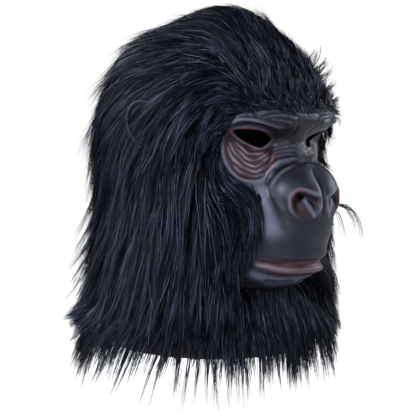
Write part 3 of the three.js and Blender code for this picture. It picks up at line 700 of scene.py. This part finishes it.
def furBacking():
    angles = np.linspace(-np.pi, np.pi, backing["columns"], endpoint=False)
    tilts = np.linspace(np.pi / 2, 0, backing["capRows"] + 1)[1:]
    levels = np.linspace(spine["top"], backing["bottom"], backing["bodyRows"] + 1)[1:]
    radius = np.concatenate([np.cos(tilts), np.ones_like(levels)])[:, None]
    height = np.concatenate([np.sin(tilts) + spine["top"], levels])[:, None]
    points = onPile(onAxis(radius, angles, height), backing["depth"]).reshape(-1, 3)
    # points just inside the opening move out to its line
    gap = windowGap(points)
    close = (gap < 0) & (gap > -backing["snap"])
    away = np.sum((openingLoop - faceFlat(points[close])[:, None]) ** 2, axis=-1)
    nearest = openingLoop[np.argmin(away, axis=1)]
    points[close] = onAxis(0.1, np.radians(nearest[:, 0] / flatScale), nearest[:, 1] / 1000)
    rise = ease(windowGap(points) / backing["edgeWidth"])
    points = onPile(points, backing["edgeDepth"] + (backing["depth"] - backing["edgeDepth"]) * rise)
    faces = gridFaces(len(radius), len(angles))
    outside = windowGap(points)[faces].min(axis=1) > -backing["overlap"]
    pole = onPile(np.array([[0, 0, 1.0]]), backing["depth"])
    cap = poleFaces(len(angles), len(points))
    piece = makeMesh("furBacking", np.concatenate([points, pole]), [faces[outside], cap])
    thicken(piece, backing["thickness"])
    return piece


base = furBacking()

print("fur locks")

fur = {
    "locks": 2700, "hemLocks": 560, "edgeLocks": 470, "browLocks": 220, "wisps": 330,
    "quickShare": 0.3, "strands": 25, "points": 5, "lockRadius": 0.0058, "width": 0.00062, "seed": 11,
    "flyaways": 0.09,  # share of the locks that stand off the pile
    "levels": {"hem": (-0.302, -0.262), "brow": (-0.108, -0.086)},
}
# Lengths of locks, at the face's edge with the metres that each millimetre away from it adds
lockLength = {"top": 0.074, "gain": 0.02, "brow": (0.013, 0.00085), "cheek": (0.034, 0.0022),
              "least": 0.0075, "leastAtHem": 0.009}
# The hem's line: its level, how far single locks pass it, and its swells downwards by degrees round
hem = {"level": -0.310, "uneven": 0.013, "longest": 0.052, "groups": 0.007, "rearRise": 0.010,
       "swells": [(0.044, 10, 17), (-0.014, -46, 22)]}
wisp = {"strands": 12, "radius": 0.0030, "slack": 0.0011, "level": -0.352, "uneven": 0.040}
# No lock grows over the middle of an ear: how far that is from the ear's own, and its half sizes
earClearing = {"back": -0.003, "below": 0.010, "halfLength": 0.006, "halfHeight": 0.009}
# Lower edge of the pile on the brow: degrees round and millimetres under the crown
browEdge = [(0, 99), (10, 99), (14, 98), (23.5, 98), (30.4, 98), (34.3, 98.5), (38, 101), (41, 102)]
# Strands that would leave the mask's own space bend back: axis, side and limit, and how softly
strandLimits = [(0, 1, 0.1435), (0, -1, 0.1435), (1, 1, 0.1885), (2, -1, 0.3845), (2, 1, 0.022)]
limitSoftness = 0.008
# Locks that stand out on their own: degrees round, level, strands, radius, and in millimetres where the
# tip goes (outwards, to the mask's own left, up) and the bow upwards
strayLocks = [
    (37, -.190, 34, .0018, (38, 3, -42), 6),
    (41, -.196, 12, .0022, (19, 2, -48), 5),
    (28, -.052, 34, .0050, (7, 4, 17), 0),
    (33, -.058, 44, .0062, (9, 3, 12), 0),
    (38, -.066, 44, .0062, (10, 2, 10), 0),
    (43, -.078, 44, .0062, (9, 0, 8), 0),
    (47, -.090, 40, .0060, (8, 0, 3), 0),
    (50, -.103, 36, .0056, (8, 0, -4), 0),
    (22, -.048, 22, .0036, (6, 3, 12), 0),
    (47, -.232, 18, .0030, (14, 0, -28), 3),
    (44, -.262, 18, .0030, (12, 0, -36), 3),
    (50, -.305, 16, .0026, (16, 4, -16), 4),
    (-44, -.176, 30, .0040, (5, 22, -14), 4),
    (-48, -.182, 30, .0040, (5, 22, -20), 4),
    (-132, -.050, 24, .0036, (17, 0, -46), 4),
    (-139, -.072, 24, .0036, (19, 0, -50), 3),
    (-128, -.096, 24, .0036, (17, 0, -52), 3),
    (-142, -.118, 20, .0036, (15, 0, -52), 3),
    (-133, -.150, 16, .0036, (13, 0, -56), 3),
    (132, -.060, 24, .0036, (15, 0, -46), 4),
    (140, -.100, 24, .0036, (15, 0, -50), 3),
    (126, -.140, 20, .0036, (12, 0, -52), 3),
    (172, -.090, 24, .0036, (10, 4, -48), 3),
]


def flowAt(points):
    # the way the pile lies: up from the brow, back over the crown, round and down at the temples, down below,
    # and forwards under the eyes
    angle = np.arctan2(points[..., 0], -points[..., 1])
    degrees = np.abs(np.degrees(angle))
    z = points[..., 2]
    front = fadeOut(degrees, 60, 42) * fadeIn(z, -0.142, 0.03)
    low = fadeOut(z, -0.078, 0.022) * front
    back = np.maximum(fadeIn(z, -0.19, 0.15), 0.45 * front)
    back = back + 0.34 * fadeOut(z, -0.275, 0.035) * bell((degrees - 92) / 32)
    up = (0.9 - 0.6 * low) * front - (1 - front) * (0.06 + fadeOut(z, -0.005, 0.135))
    sweep = 1.4 * bell((z + 0.170) / 0.02) * bell((degrees - 40) / 9)
    aside = 0.8 * low * fadeIn(degrees, 6, 10)
    forward = np.stack([np.cos(angle), np.sin(angle), np.zeros_like(z)], -1) * -np.sign(angle)[..., None]
    return unit(np.stack([np.zeros_like(z), back, up], -1) + forward * (sweep - aside)[..., None])


def lockRoots(rng, count, region):
    # points over the pile: everywhere outside the face opening, along its edge, on the brow, or above the hem
    found = []
    tries = 4 * count
    while sum(len(f) for f in found) < count:
        tilt = rng.uniform(0, 1, tries)
        angle = rng.uniform(-np.pi, np.pi, tries)
        level = rng.uniform(-mask["hem"] * mask["drop"] + 0.004, 0.05, tries)
        if region in fur["levels"]:
            level = rng.uniform(*fur["levels"][region], tries)
        if region == "brow":
            angle = rng.uniform(-0.75, 0.75, tries)
        ball = onAxis(np.cos(np.arcsin(tilt)), angle, tilt + spine["top"])
        above = level > spine["top"]
        points = onPile(np.where(above[:, None], ball, onAxis(1, angle, level)), 0.4)
        gap = windowGap(points)
        behind = (points[:, 1] - ear["back"] - earClearing["back"]) / earClearing["halfLength"]
        over = (points[:, 2] + ear["drop"] + earClearing["below"]) / earClearing["halfHeight"]
        chosen = (gap > 1.5) & ~((np.hypot(behind, over) < 1) & (np.abs(points[:, 0]) > 0.05))
        if region == "edge":
            chosen &= gap < 8
        if region == "brow":
            degrees = np.abs(turnOf(points))
            edge = np.interp(degrees, *zip(*browEdge))
            chosen = (gap > -14) & (gap < 1) & (points[:, 2] > -0.001 * edge) & (degrees < browEdge[-1][0])
        found.append(points[chosen])
    return np.concatenate(found)[:count]


def lockLengths(rng, roots):
    # short at the edge of the face and on the forehead, long elsewhere, and cut unevenly below the hem
    gap = windowGap(roots)
    turned = turnOf(roots)
    z = roots[:, 2]
    length = lockLength["top"] + lockLength["gain"] * ease(-z / 0.25)
    upper = fadeIn(z, -0.155, 0.03)
    brow, cheek = (start + slope * gap for start, slope in (lockLength["brow"], lockLength["cheek"]))
    length = np.minimum(length, upper * brow + (1 - upper) * cheek)
    forehead = fadeOut(np.abs(turned), 75, 30) * fadeOut(z, 0.01, 0.03) * (roots[:, 1] < 0)
    length = length * (1 - 0.3 * forehead * upper)
    length = length * rng.uniform(0.75, 1.25, len(roots))
    lowest = hem["level"] - hem["uneven"] * rng.uniform(0, 1, len(roots))
    lowest = lowest - hem["longest"] * rng.uniform(0, 1, len(roots)) ** 5
    for down, at, wide in hem["swells"]:
        lowest = lowest - down * bell((turned - at) / wide)
    groups = np.sin(turned * 0.21 + 1) * np.sin(turned * 0.093 + 2) + 0.5 * np.sin(turned * 0.55)
    lowest = lowest - hem["groups"] * groups
    lowest = lowest + hem["rearRise"] * bell((np.abs(turned) - 138) / 24)
    return np.clip(length, lockLength["least"], np.maximum(z - lowest, lockLength["leastAtHem"]))


def growLocks(rng, roots, lengths):
    # each lock's middle line: steps along the flow, lifted from the backing to the pile's outside
    steps = fur["points"] - 1
    z = roots[:, 2]
    lean = rng.normal(0, 1, (len(roots), 3)) * (0.12 - 0.05 * fadeOut(z, -0.17, 0.08))[:, None]
    heights = np.linspace(0, 1, steps + 1) ** 0.7
    gap = windowGap(roots)
    start = backing["edgeDepth"] + 0.33 * ease(gap / backing["edgeWidth"])
    loft = rng.uniform(0.8, 1.08, len(roots)) * (0.28 + 0.72 * fadeIn(gap, -3, 9))
    free = (rng.uniform(0, 1, len(roots)) < fur["flyaways"]) & (gap > 25)
    loft = loft + free * rng.uniform(0.15, 0.5, len(roots)) * (1 - 0.85 * fadeOut(z, -0.21, 0.04))
    flare = fadeOut(z, -0.245, 0.05) * (0.04 + 0.09 * fadeIn(np.abs(turnOf(roots)), 60, 40))
    path = [onPile(roots, start)]
    for k in range(1, steps + 1):
        here = path[-1]
        direction = flowAt(here) + lean
        share = start + (loft - start) * heights[k] + flare * (k / steps) ** 1.5
        probe = unit(onPile(here + 0.004 * direction, share) - onPile(here, share))
        path.append(onPile(here + probe * (lengths / steps)[:, None], share))
    return np.stack(path, 1)


def strayPath(angle, level, reach, bow):
    # a free arc: outwards and round by the sine of the way along, down by its square, with a bow upwards
    t = np.linspace(0, 1, fur["points"])[:, None]
    angle = np.radians(angle)
    outward = np.array([np.sin(angle), -np.cos(angle), 0])
    leftward = np.array([np.cos(angle), np.sin(angle), 0])
    up = np.array([0, 0, 1.0])
    root = onPile((0.1 * outward + level * up)[None], 0.55)[0]
    out, aside, rise = np.array(reach) / 1000
    swing = np.sin(np.pi / 2 * t)
    fall = t**2 if rise < 0 else t
    path = root + swing * (out * outward + aside * leftward) + fall * rise * up
    return path + np.sin(np.pi * t) * bow / 1000 * up


def withinBox(line):
    # past the start of the soft zone the distance follows a tanh and never reaches the limit
    for axis, sign, limit in strandLimits:
        value = sign * line[..., axis]
        start = limit - limitSoftness
        eased = start + limitSoftness * np.tanh((value - start) / limitSoftness)
        line[..., axis] = sign * np.where(value > start, eased, value)
    return line


def strandAxes(line, outward):
    # along each line, across it and up from the pile
    along = unit(np.gradient(line, axis=1))
    across = unit(np.cross(along, outward))
    return along, across, np.cross(across, along)


def strandsOf(rng, path, strands, radius, slackness):
    # strands round each lock's line; they close up to a point towards its tip
    locks, count, _ = path.shape
    t = np.linspace(0, 1, count)
    outward = spinePlace(path)[3]
    along, across, up = strandAxes(path, outward)
    spread = np.sqrt(rng.uniform(0, 1, (locks, strands))) * radius
    turn = rng.uniform(0, 2 * np.pi, (locks, strands))
    closing = 1 - 0.72 * t**1.3
    slack = rng.normal(0, 1, (locks, strands, 2)) * slackness
    sideways = (spread * np.cos(turn))[..., None] * closing + slack[..., :1] * t**2
    lift = (spread * np.sin(turn) * 0.4)[..., None] * closing + slack[..., 1:] * t**2
    forward = rng.uniform(-0.5, 0.5, (locks, strands)) * 0.016
    line = (
        path[:, None]
        + sideways[..., None] * across[:, None]
        + lift[..., None] * up[:, None]
        + forward[..., None, None] * along[:, None]
    )
    shorten = rng.uniform(0.68, 1.0, (locks, strands, 1, 1))
    root = line[:, :, :1]
    line = withinBox(root + (line - root) * shorten)
    return line.reshape(-1, count, 3), np.repeat(outward, strands, axis=0)


def ribbons(rng, line, outward):
    # every strand is a flat ribbon that tapers to its tip, turned by its own roll
    total, count, _ = line.shape
    _, across, up = strandAxes(line, outward)
    roll = rng.uniform(-1.1, 1.1, (total, 1, 1))
    side = across * np.cos(roll) + up * np.sin(roll)
    t = np.linspace(0, 1, count)
    width = fur["width"] * rng.uniform(0.55, 1.3, (total, 1)) * (1 - 0.75 * t[None] ** 2)
    left = line - side * width[..., None] / 2
    right = line + side * width[..., None] / 2
    rungs = np.stack([left[:, :-1], right[:, :-1]], 2).reshape(total, -1, 3)
    return np.concatenate([rungs, line[:, -1:]], axis=1)


def furPiece(name, bundles):
    points = np.concatenate([b[0] for b in bundles])
    toneAndSheen = np.concatenate([b[1] for b in bundles])
    total, size, _ = points.shape
    steps = np.arange((size - 1) // 2 - 1) * 2
    quad = np.stack([steps, steps + 1, steps + 3, steps + 2], -1)
    offsets = np.arange(total) * size
    quads = (offsets[:, None, None] + quad[None]).reshape(-1, 4)
    tips = offsets[:, None] + np.array([size - 3, size - 2, size - 1])
    piece = makeMesh(name, points.reshape(-1, 3), [quads, tips])
    t = np.linspace(0, 1, fur["points"])
    addAttribute(piece, "along", np.tile(np.concatenate([np.repeat(t[:-1], 2), [1.0]]), total))
    addAttribute(piece, "toneAndSheen", np.repeat(toneAndSheen, size))
    print(name, total, "strands")
    return piece


def furRegion(root):
    # the name of the piece that a lock belongs to, by where its root is
    azimuth = turnOf(root)
    side = "right" if azimuth < 0 else "left"
    if root[2] > -0.055:
        return side + "CrownFur"
    if abs(azimuth) < 40:
        return "frontFur"
    if abs(azimuth) > 125:
        return "napeFur" if root[2] > -0.19 else "backFur"
    return side + "Fur"


def growFur():
    rng = np.random.default_rng(fur["seed"])
    share = 1.0
    kinds = (("locks", "all"), ("edgeLocks", "edge"), ("browLocks", "brow"), ("hemLocks", "hem"))
    roots = np.concatenate([lockRoots(rng, int(fur[count] * share), region) for count, region in kinds])
    path = growLocks(rng, roots, lockLengths(rng, roots))
    # thin long wisps hang out of the hem
    wispRoots = lockRoots(rng, int(fur["wisps"] * share), "hem")
    wispLengths = wispRoots[:, 2] - wisp["level"] + wisp["uneven"] * rng.uniform(0, 1, len(wispRoots)) ** 1.4
    wisps = [(growLocks(rng, wispRoots, wispLengths), wisp["strands"], wisp["radius"], wisp["slack"], 0)]
    strays = [(strayPath(angle, level, reach, bow)[None], strands, radius, 0.5 * radius, 0.1)
              for angle, level, strands, radius, reach, bow in strayLocks]
    # locks differ a little in tone, those on the brow are lighter, and a few strands are painted light as a
    # painted sheen
    brow = (roots[:, 1] < -0.05) & (np.abs(roots[:, 2] + 0.092) < 0.016)
    tonesAndSheen = rng.uniform(0, 0.5, len(roots)) + 0.2 * brow
    names = np.array([furRegion(root) for root in roots])
    pieces = {}
    for name in sorted(set(names)):
        chosen = names == name
        radius = fur["lockRadius"] * (0.4 + 0.6 * ease(windowGap(roots[chosen]) / 20))[:, None]
        line, outward = strandsOf(rng, path[chosen], fur["strands"], radius, 0.4 * radius[..., None])
        toneAndSheen = np.clip(np.repeat(tonesAndSheen[chosen], fur["strands"]) + rng.uniform(0, 1, len(line)) ** 3, 0, 1)
        bundles = [(ribbons(rng, line, outward), toneAndSheen)]
        extra = {"frontFur": wisps, "napeFur": strays}.get(name, [])
        for locks, strands, radius, slack, least in extra:
            line, outward = strandsOf(rng, locks, strands, radius, slack)
            toneAndSheen = rng.uniform(least, 0.8, len(line))
            bundles.append((ribbons(rng, line, outward), toneAndSheen))
        pieces[name] = furPiece(name, bundles)
    return pieces


furPieces = growFur()

print("materials")

# Colours of the latex, most of them named after the mask that lays them on
paint = {
    "darkBlack": (0.010, 0.010, 0.015),
    "lightBlack": (0.019, 0.018, 0.026),
    "neck": (0.095, 0.050, 0.042),
    "bag": (0.023, 0.0065, 0.0078),
    "lip": (0.105, 0.046, 0.052),
    # dry paint on the crests of the moulding, and a painted highlight on the ears' rims
    "dryPaintAndHighlight": (0.15, 0.16, 0.23),
    "bagCrest": (0.40, 0.28, 0.35),
    "lipCrest": (0.13, 0.08, 0.09),
    # painted highlights, on the cheek partly grey paint
    "greyPaintAndHighlight": (0.140, 0.145, 0.198),
    "red": (0.13, 0.022, 0.018),
    # painted shade in the grooves
    "groove": (0.006, 0.004, 0.005),
    # painted shade
    "paintedShade": (0.010, 0.005, 0.006),
    "shine": {"From Min": 0.3, "From Max": 0.7, "To Min": 0.33, "To Max": 0.46},
    "grain": {"Strength": 0.35, "Distance": 0.0006},
    "gloss": {"Specular IOR Level": 0.36, "Specular Tint": (0.82, 0.88, 1.0)},
}
pile = {
    # tone of the strands, and at the top of the ramp a painted sheen on the few light ones
    "tonesAndSheen": [
        (0.0, (0.0010, 0.0011, 0.0026)),
        (0.55, (0.0024, 0.0026, 0.0068)),
        (0.85, (0.011, 0.0125, 0.026)),
        (1.0, (0.064, 0.068, 0.118)),
    ],
    # painted shade: the strands darken towards their roots
    "roots": [(0.0, (0.2, 0.2, 0.2)), (0.6, (1, 1, 1))],  # the roots lie in the dark of the pile
    "cloth": [(0.3, (0.001, 0.001, 0.002)), (0.7, (0.003, 0.003, 0.005))],
    "gloss": {"Specular IOR Level": 0.3, "Specular Tint": (0.66, 0.76, 1.0)},
}


def setInputs(tree, node, values):
    # a value that is another node's socket is linked, and the rest are constants; a tuple is a colour
    for name, value in values.items():
        if isinstance(value, bpy.types.NodeSocket):
            tree.links.new(value, node.inputs[name])
        else:
            node.inputs[name].default_value = (*value, 1) if isinstance(value, tuple) else value


def newNode(tree, kind, values):
    node = tree.nodes.new("ShaderNode" + kind)
    setInputs(tree, node, values)
    return node


def newMaterial(name):
    material = bpy.data.materials.new(name)
    material.use_nodes = True
    return material, material.node_tree, material.node_tree.nodes["Principled BSDF"]


def attributeNode(tree, name):
    node = newNode(tree, "Attribute", {})
    node.attribute_name = name
    return node.outputs["Fac"]


def noiseNode(tree, scale, detail):
    place = newNode(tree, "TexCoord", {})
    values = {"Scale": scale, "Detail": detail, "Vector": place.outputs["Object"]}
    return newNode(tree, "TexNoise", values).outputs["Fac"]


def rampNode(tree, factor, stops):
    node = newNode(tree, "ValToRGB", {"Fac": factor})
    ramp = node.color_ramp.elements
    for end in (0, -1):
        ramp[end].position = stops[end][0]
        ramp[end].color = (*stops[end][1], 1)
    for at, color in stops[1:-1]:
        ramp.new(at).color = (*color, 1)
    return node.outputs["Color"]


def mixNode(tree, factor, a, b, blend="MIX"):
    # inputs 6 and 7 are the node's colours and output 2 is their mix
    node = newNode(tree, "Mix", {})
    node.data_type = "RGBA"
    node.blend_type = blend
    setInputs(tree, node, {"Factor": factor, 6: a, 7: b})
    return node.outputs[2]


def furMaterial():
    material, tree, shader = newMaterial("blackPile")
    toneAndSheen = rampNode(tree, attributeNode(tree, "toneAndSheen"), pile["tonesAndSheen"])
    # painted shade towards the roots of the strands
    rootShade = rampNode(tree, attributeNode(tree, "along"), pile["roots"])
    color = mixNode(tree, 1, toneAndSheen, rootShade, "MULTIPLY")
    setInputs(tree, shader, {"Base Color": color, "Roughness": 0.36, **pile["gloss"]})
    return material


def backingMaterial():
    material, tree, shader = newMaterial("blackBacking")
    color = rampNode(tree, noiseNode(tree, 260, 2), pile["cloth"])
    setInputs(tree, shader, {"Base Color": color, "Roughness": 0.9, "Specular IOR Level": 0.1})
    return material


def latexMaterial():
    material, tree, shader = newMaterial("paintedLatex")
    noise = noiseNode(tree, 45, 6)
    color = rampNode(tree, noise, [(0.3, paint["darkBlack"]), (0.7, paint["lightBlack"])])
    bag, lip = attributeNode(tree, "bag"), attributeNode(tree, "lip")
    dryPaintAndHighlight = mixNode(tree, lip, mixNode(tree, bag, paint["dryPaintAndHighlight"], paint["bagCrest"]), paint["lipCrest"])
    # each mask lays its colour over the last: paint, dry paint, painted highlights and painted shade
    for name in ("neck", "bag", "lip", "dryPaintAndHighlight", "greyPaintAndHighlight", "red", "groove", "paintedShade"):
        color = mixNode(tree, attributeNode(tree, name), color, dryPaintAndHighlight if name == "dryPaintAndHighlight" else paint[name])
    # the paint is shinier in places, over the fine grain of the cast rubber
    shine = newNode(tree, "MapRange", {"Value": noise, **paint["shine"]})
    bump = newNode(tree, "Bump", {"Height": noiseNode(tree, 520, 3), **paint["grain"]})
    setInputs(tree, shader, {"Base Color": color, "Roughness": shine.outputs["Result"],
                             "Normal": bump.outputs["Normal"], **paint["gloss"]})
    return material


strandMaterial = furMaterial()
for piece in furPieces.values():
    piece.data.materials.append(strandMaterial)
base.data.materials.append(backingMaterial())
rubber = latexMaterial()
for piece in [head, *ears]:
    piece.data.materials.append(rubber)

print("frame")

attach(head, "root")
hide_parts("latex_head")
for piece in ears:
    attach(piece, "root")
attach(base, "root")
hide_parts("fur_hood", "fur_beard")
for name, piece in furPieces.items():
    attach(piece, "root")

print("floor, light and camera")

studio = {
    "floor": -0.40, "floorSize": 60, "floorColor": (0.9, 0.9, 0.91), "floorGlow": (0.9, 0.9, 0.9),
    "room": {"Color": (0.94, 0.97, 1), "Strength": 0.14},
    "azimuth": -45, "elevation": 3, "distance": 1.4, "lens": 121.15,
    "aim": (-0.010, -0.193),  # across the picture, and the level
    # name, place, size, power and colour of each lamp
    "lights": [
        ("keyLight", (-1.9, -0.3, 0.7), 0.8, 34, (0.88, 0.93, 1)),
        ("frontLight", (-0.6, -2.1, 0.6), 0.8, 15, (0.90, 0.94, 1)),
        ("farLight", (1.9, -0.6, 0.5), 0.9, 14, (0.88, 0.93, 1)),
        ("backLight", (-0.5, 2.0, 0.9), 0.9, 18, (0.88, 0.93, 1)),
    ],
    "lampAim": (0, 0, -0.18),
}


def seenByCamera(tree):
    return newNode(tree, "LightPath", {}).outputs["Is Camera Ray"]


def studioFloor():
    bpy.ops.mesh.primitive_plane_add(size=studio["floorSize"], location=(0, 0, studio["floor"]))
    floor = bpy.context.object
    floor.name = "floor"
    material, tree, shader = newMaterial("paleFloor")
    # the floor glows for the camera alone, so that it shows as white as the backdrop
    setInputs(tree, shader, {"Base Color": studio["floorColor"], "Roughness": 0.9,
                             "Emission Color": studio["floorGlow"], "Emission Strength": seenByCamera(tree)})
    floor.data.materials.append(material)


def studioRoom():
    # a dim room for the light and a white backdrop for the camera
    world = bpy.data.worlds.new("studio")
    world.use_nodes = True
    tree = world.node_tree
    room = tree.nodes["Background"]
    setInputs(tree, room, studio["room"])
    backdrop = newNode(tree, "Background", {"Color": (1, 1, 1)})
    mix = newNode(tree, "MixShader", {"Fac": seenByCamera(tree), 1: room.outputs[0], 2: backdrop.outputs[0]})
    setInputs(tree, tree.nodes["World Output"], {"Surface": mix.outputs[0]})
    bpy.context.scene.world = world
    bpy.context.scene.view_settings.view_transform = "Standard"


def studioLamps():
    for name, spot, size, power, color in studio["lights"]:
        light = bpy.data.lights.new(name, "AREA")
        light.size = size
        light.energy = power
        light.color = color
        holder = addObject(name, light)
        holder.location = spot
        toMask = Vector(studio["lampAim"]) - Vector(spot)
        holder.rotation_euler = toMask.to_track_quat("-Z", "Y").to_euler()


def photoCamera():
    a, e = np.radians(studio["azimuth"]), np.radians(studio["elevation"])
    back = Vector((np.sin(a) * np.cos(e), -np.cos(a) * np.cos(e), np.sin(e)))
    right = Vector((np.cos(a), np.sin(a), 0))
    target = studio["aim"][0] * right + Vector((0, 0, studio["aim"][1]))
    camera = bpy.data.cameras.new("camera")
    camera.lens = studio["lens"]
    camera.clip_start = 0.01
    holder = addObject("camera", camera)
    axes = Matrix((right, back.cross(right), back)).transposed().to_4x4()
    holder.matrix_world = Matrix.Translation(target + studio["distance"] * back) @ axes
    bpy.context.scene.camera = holder


studioFloor()
studioRoom()
studioLamps()
photoCamera()
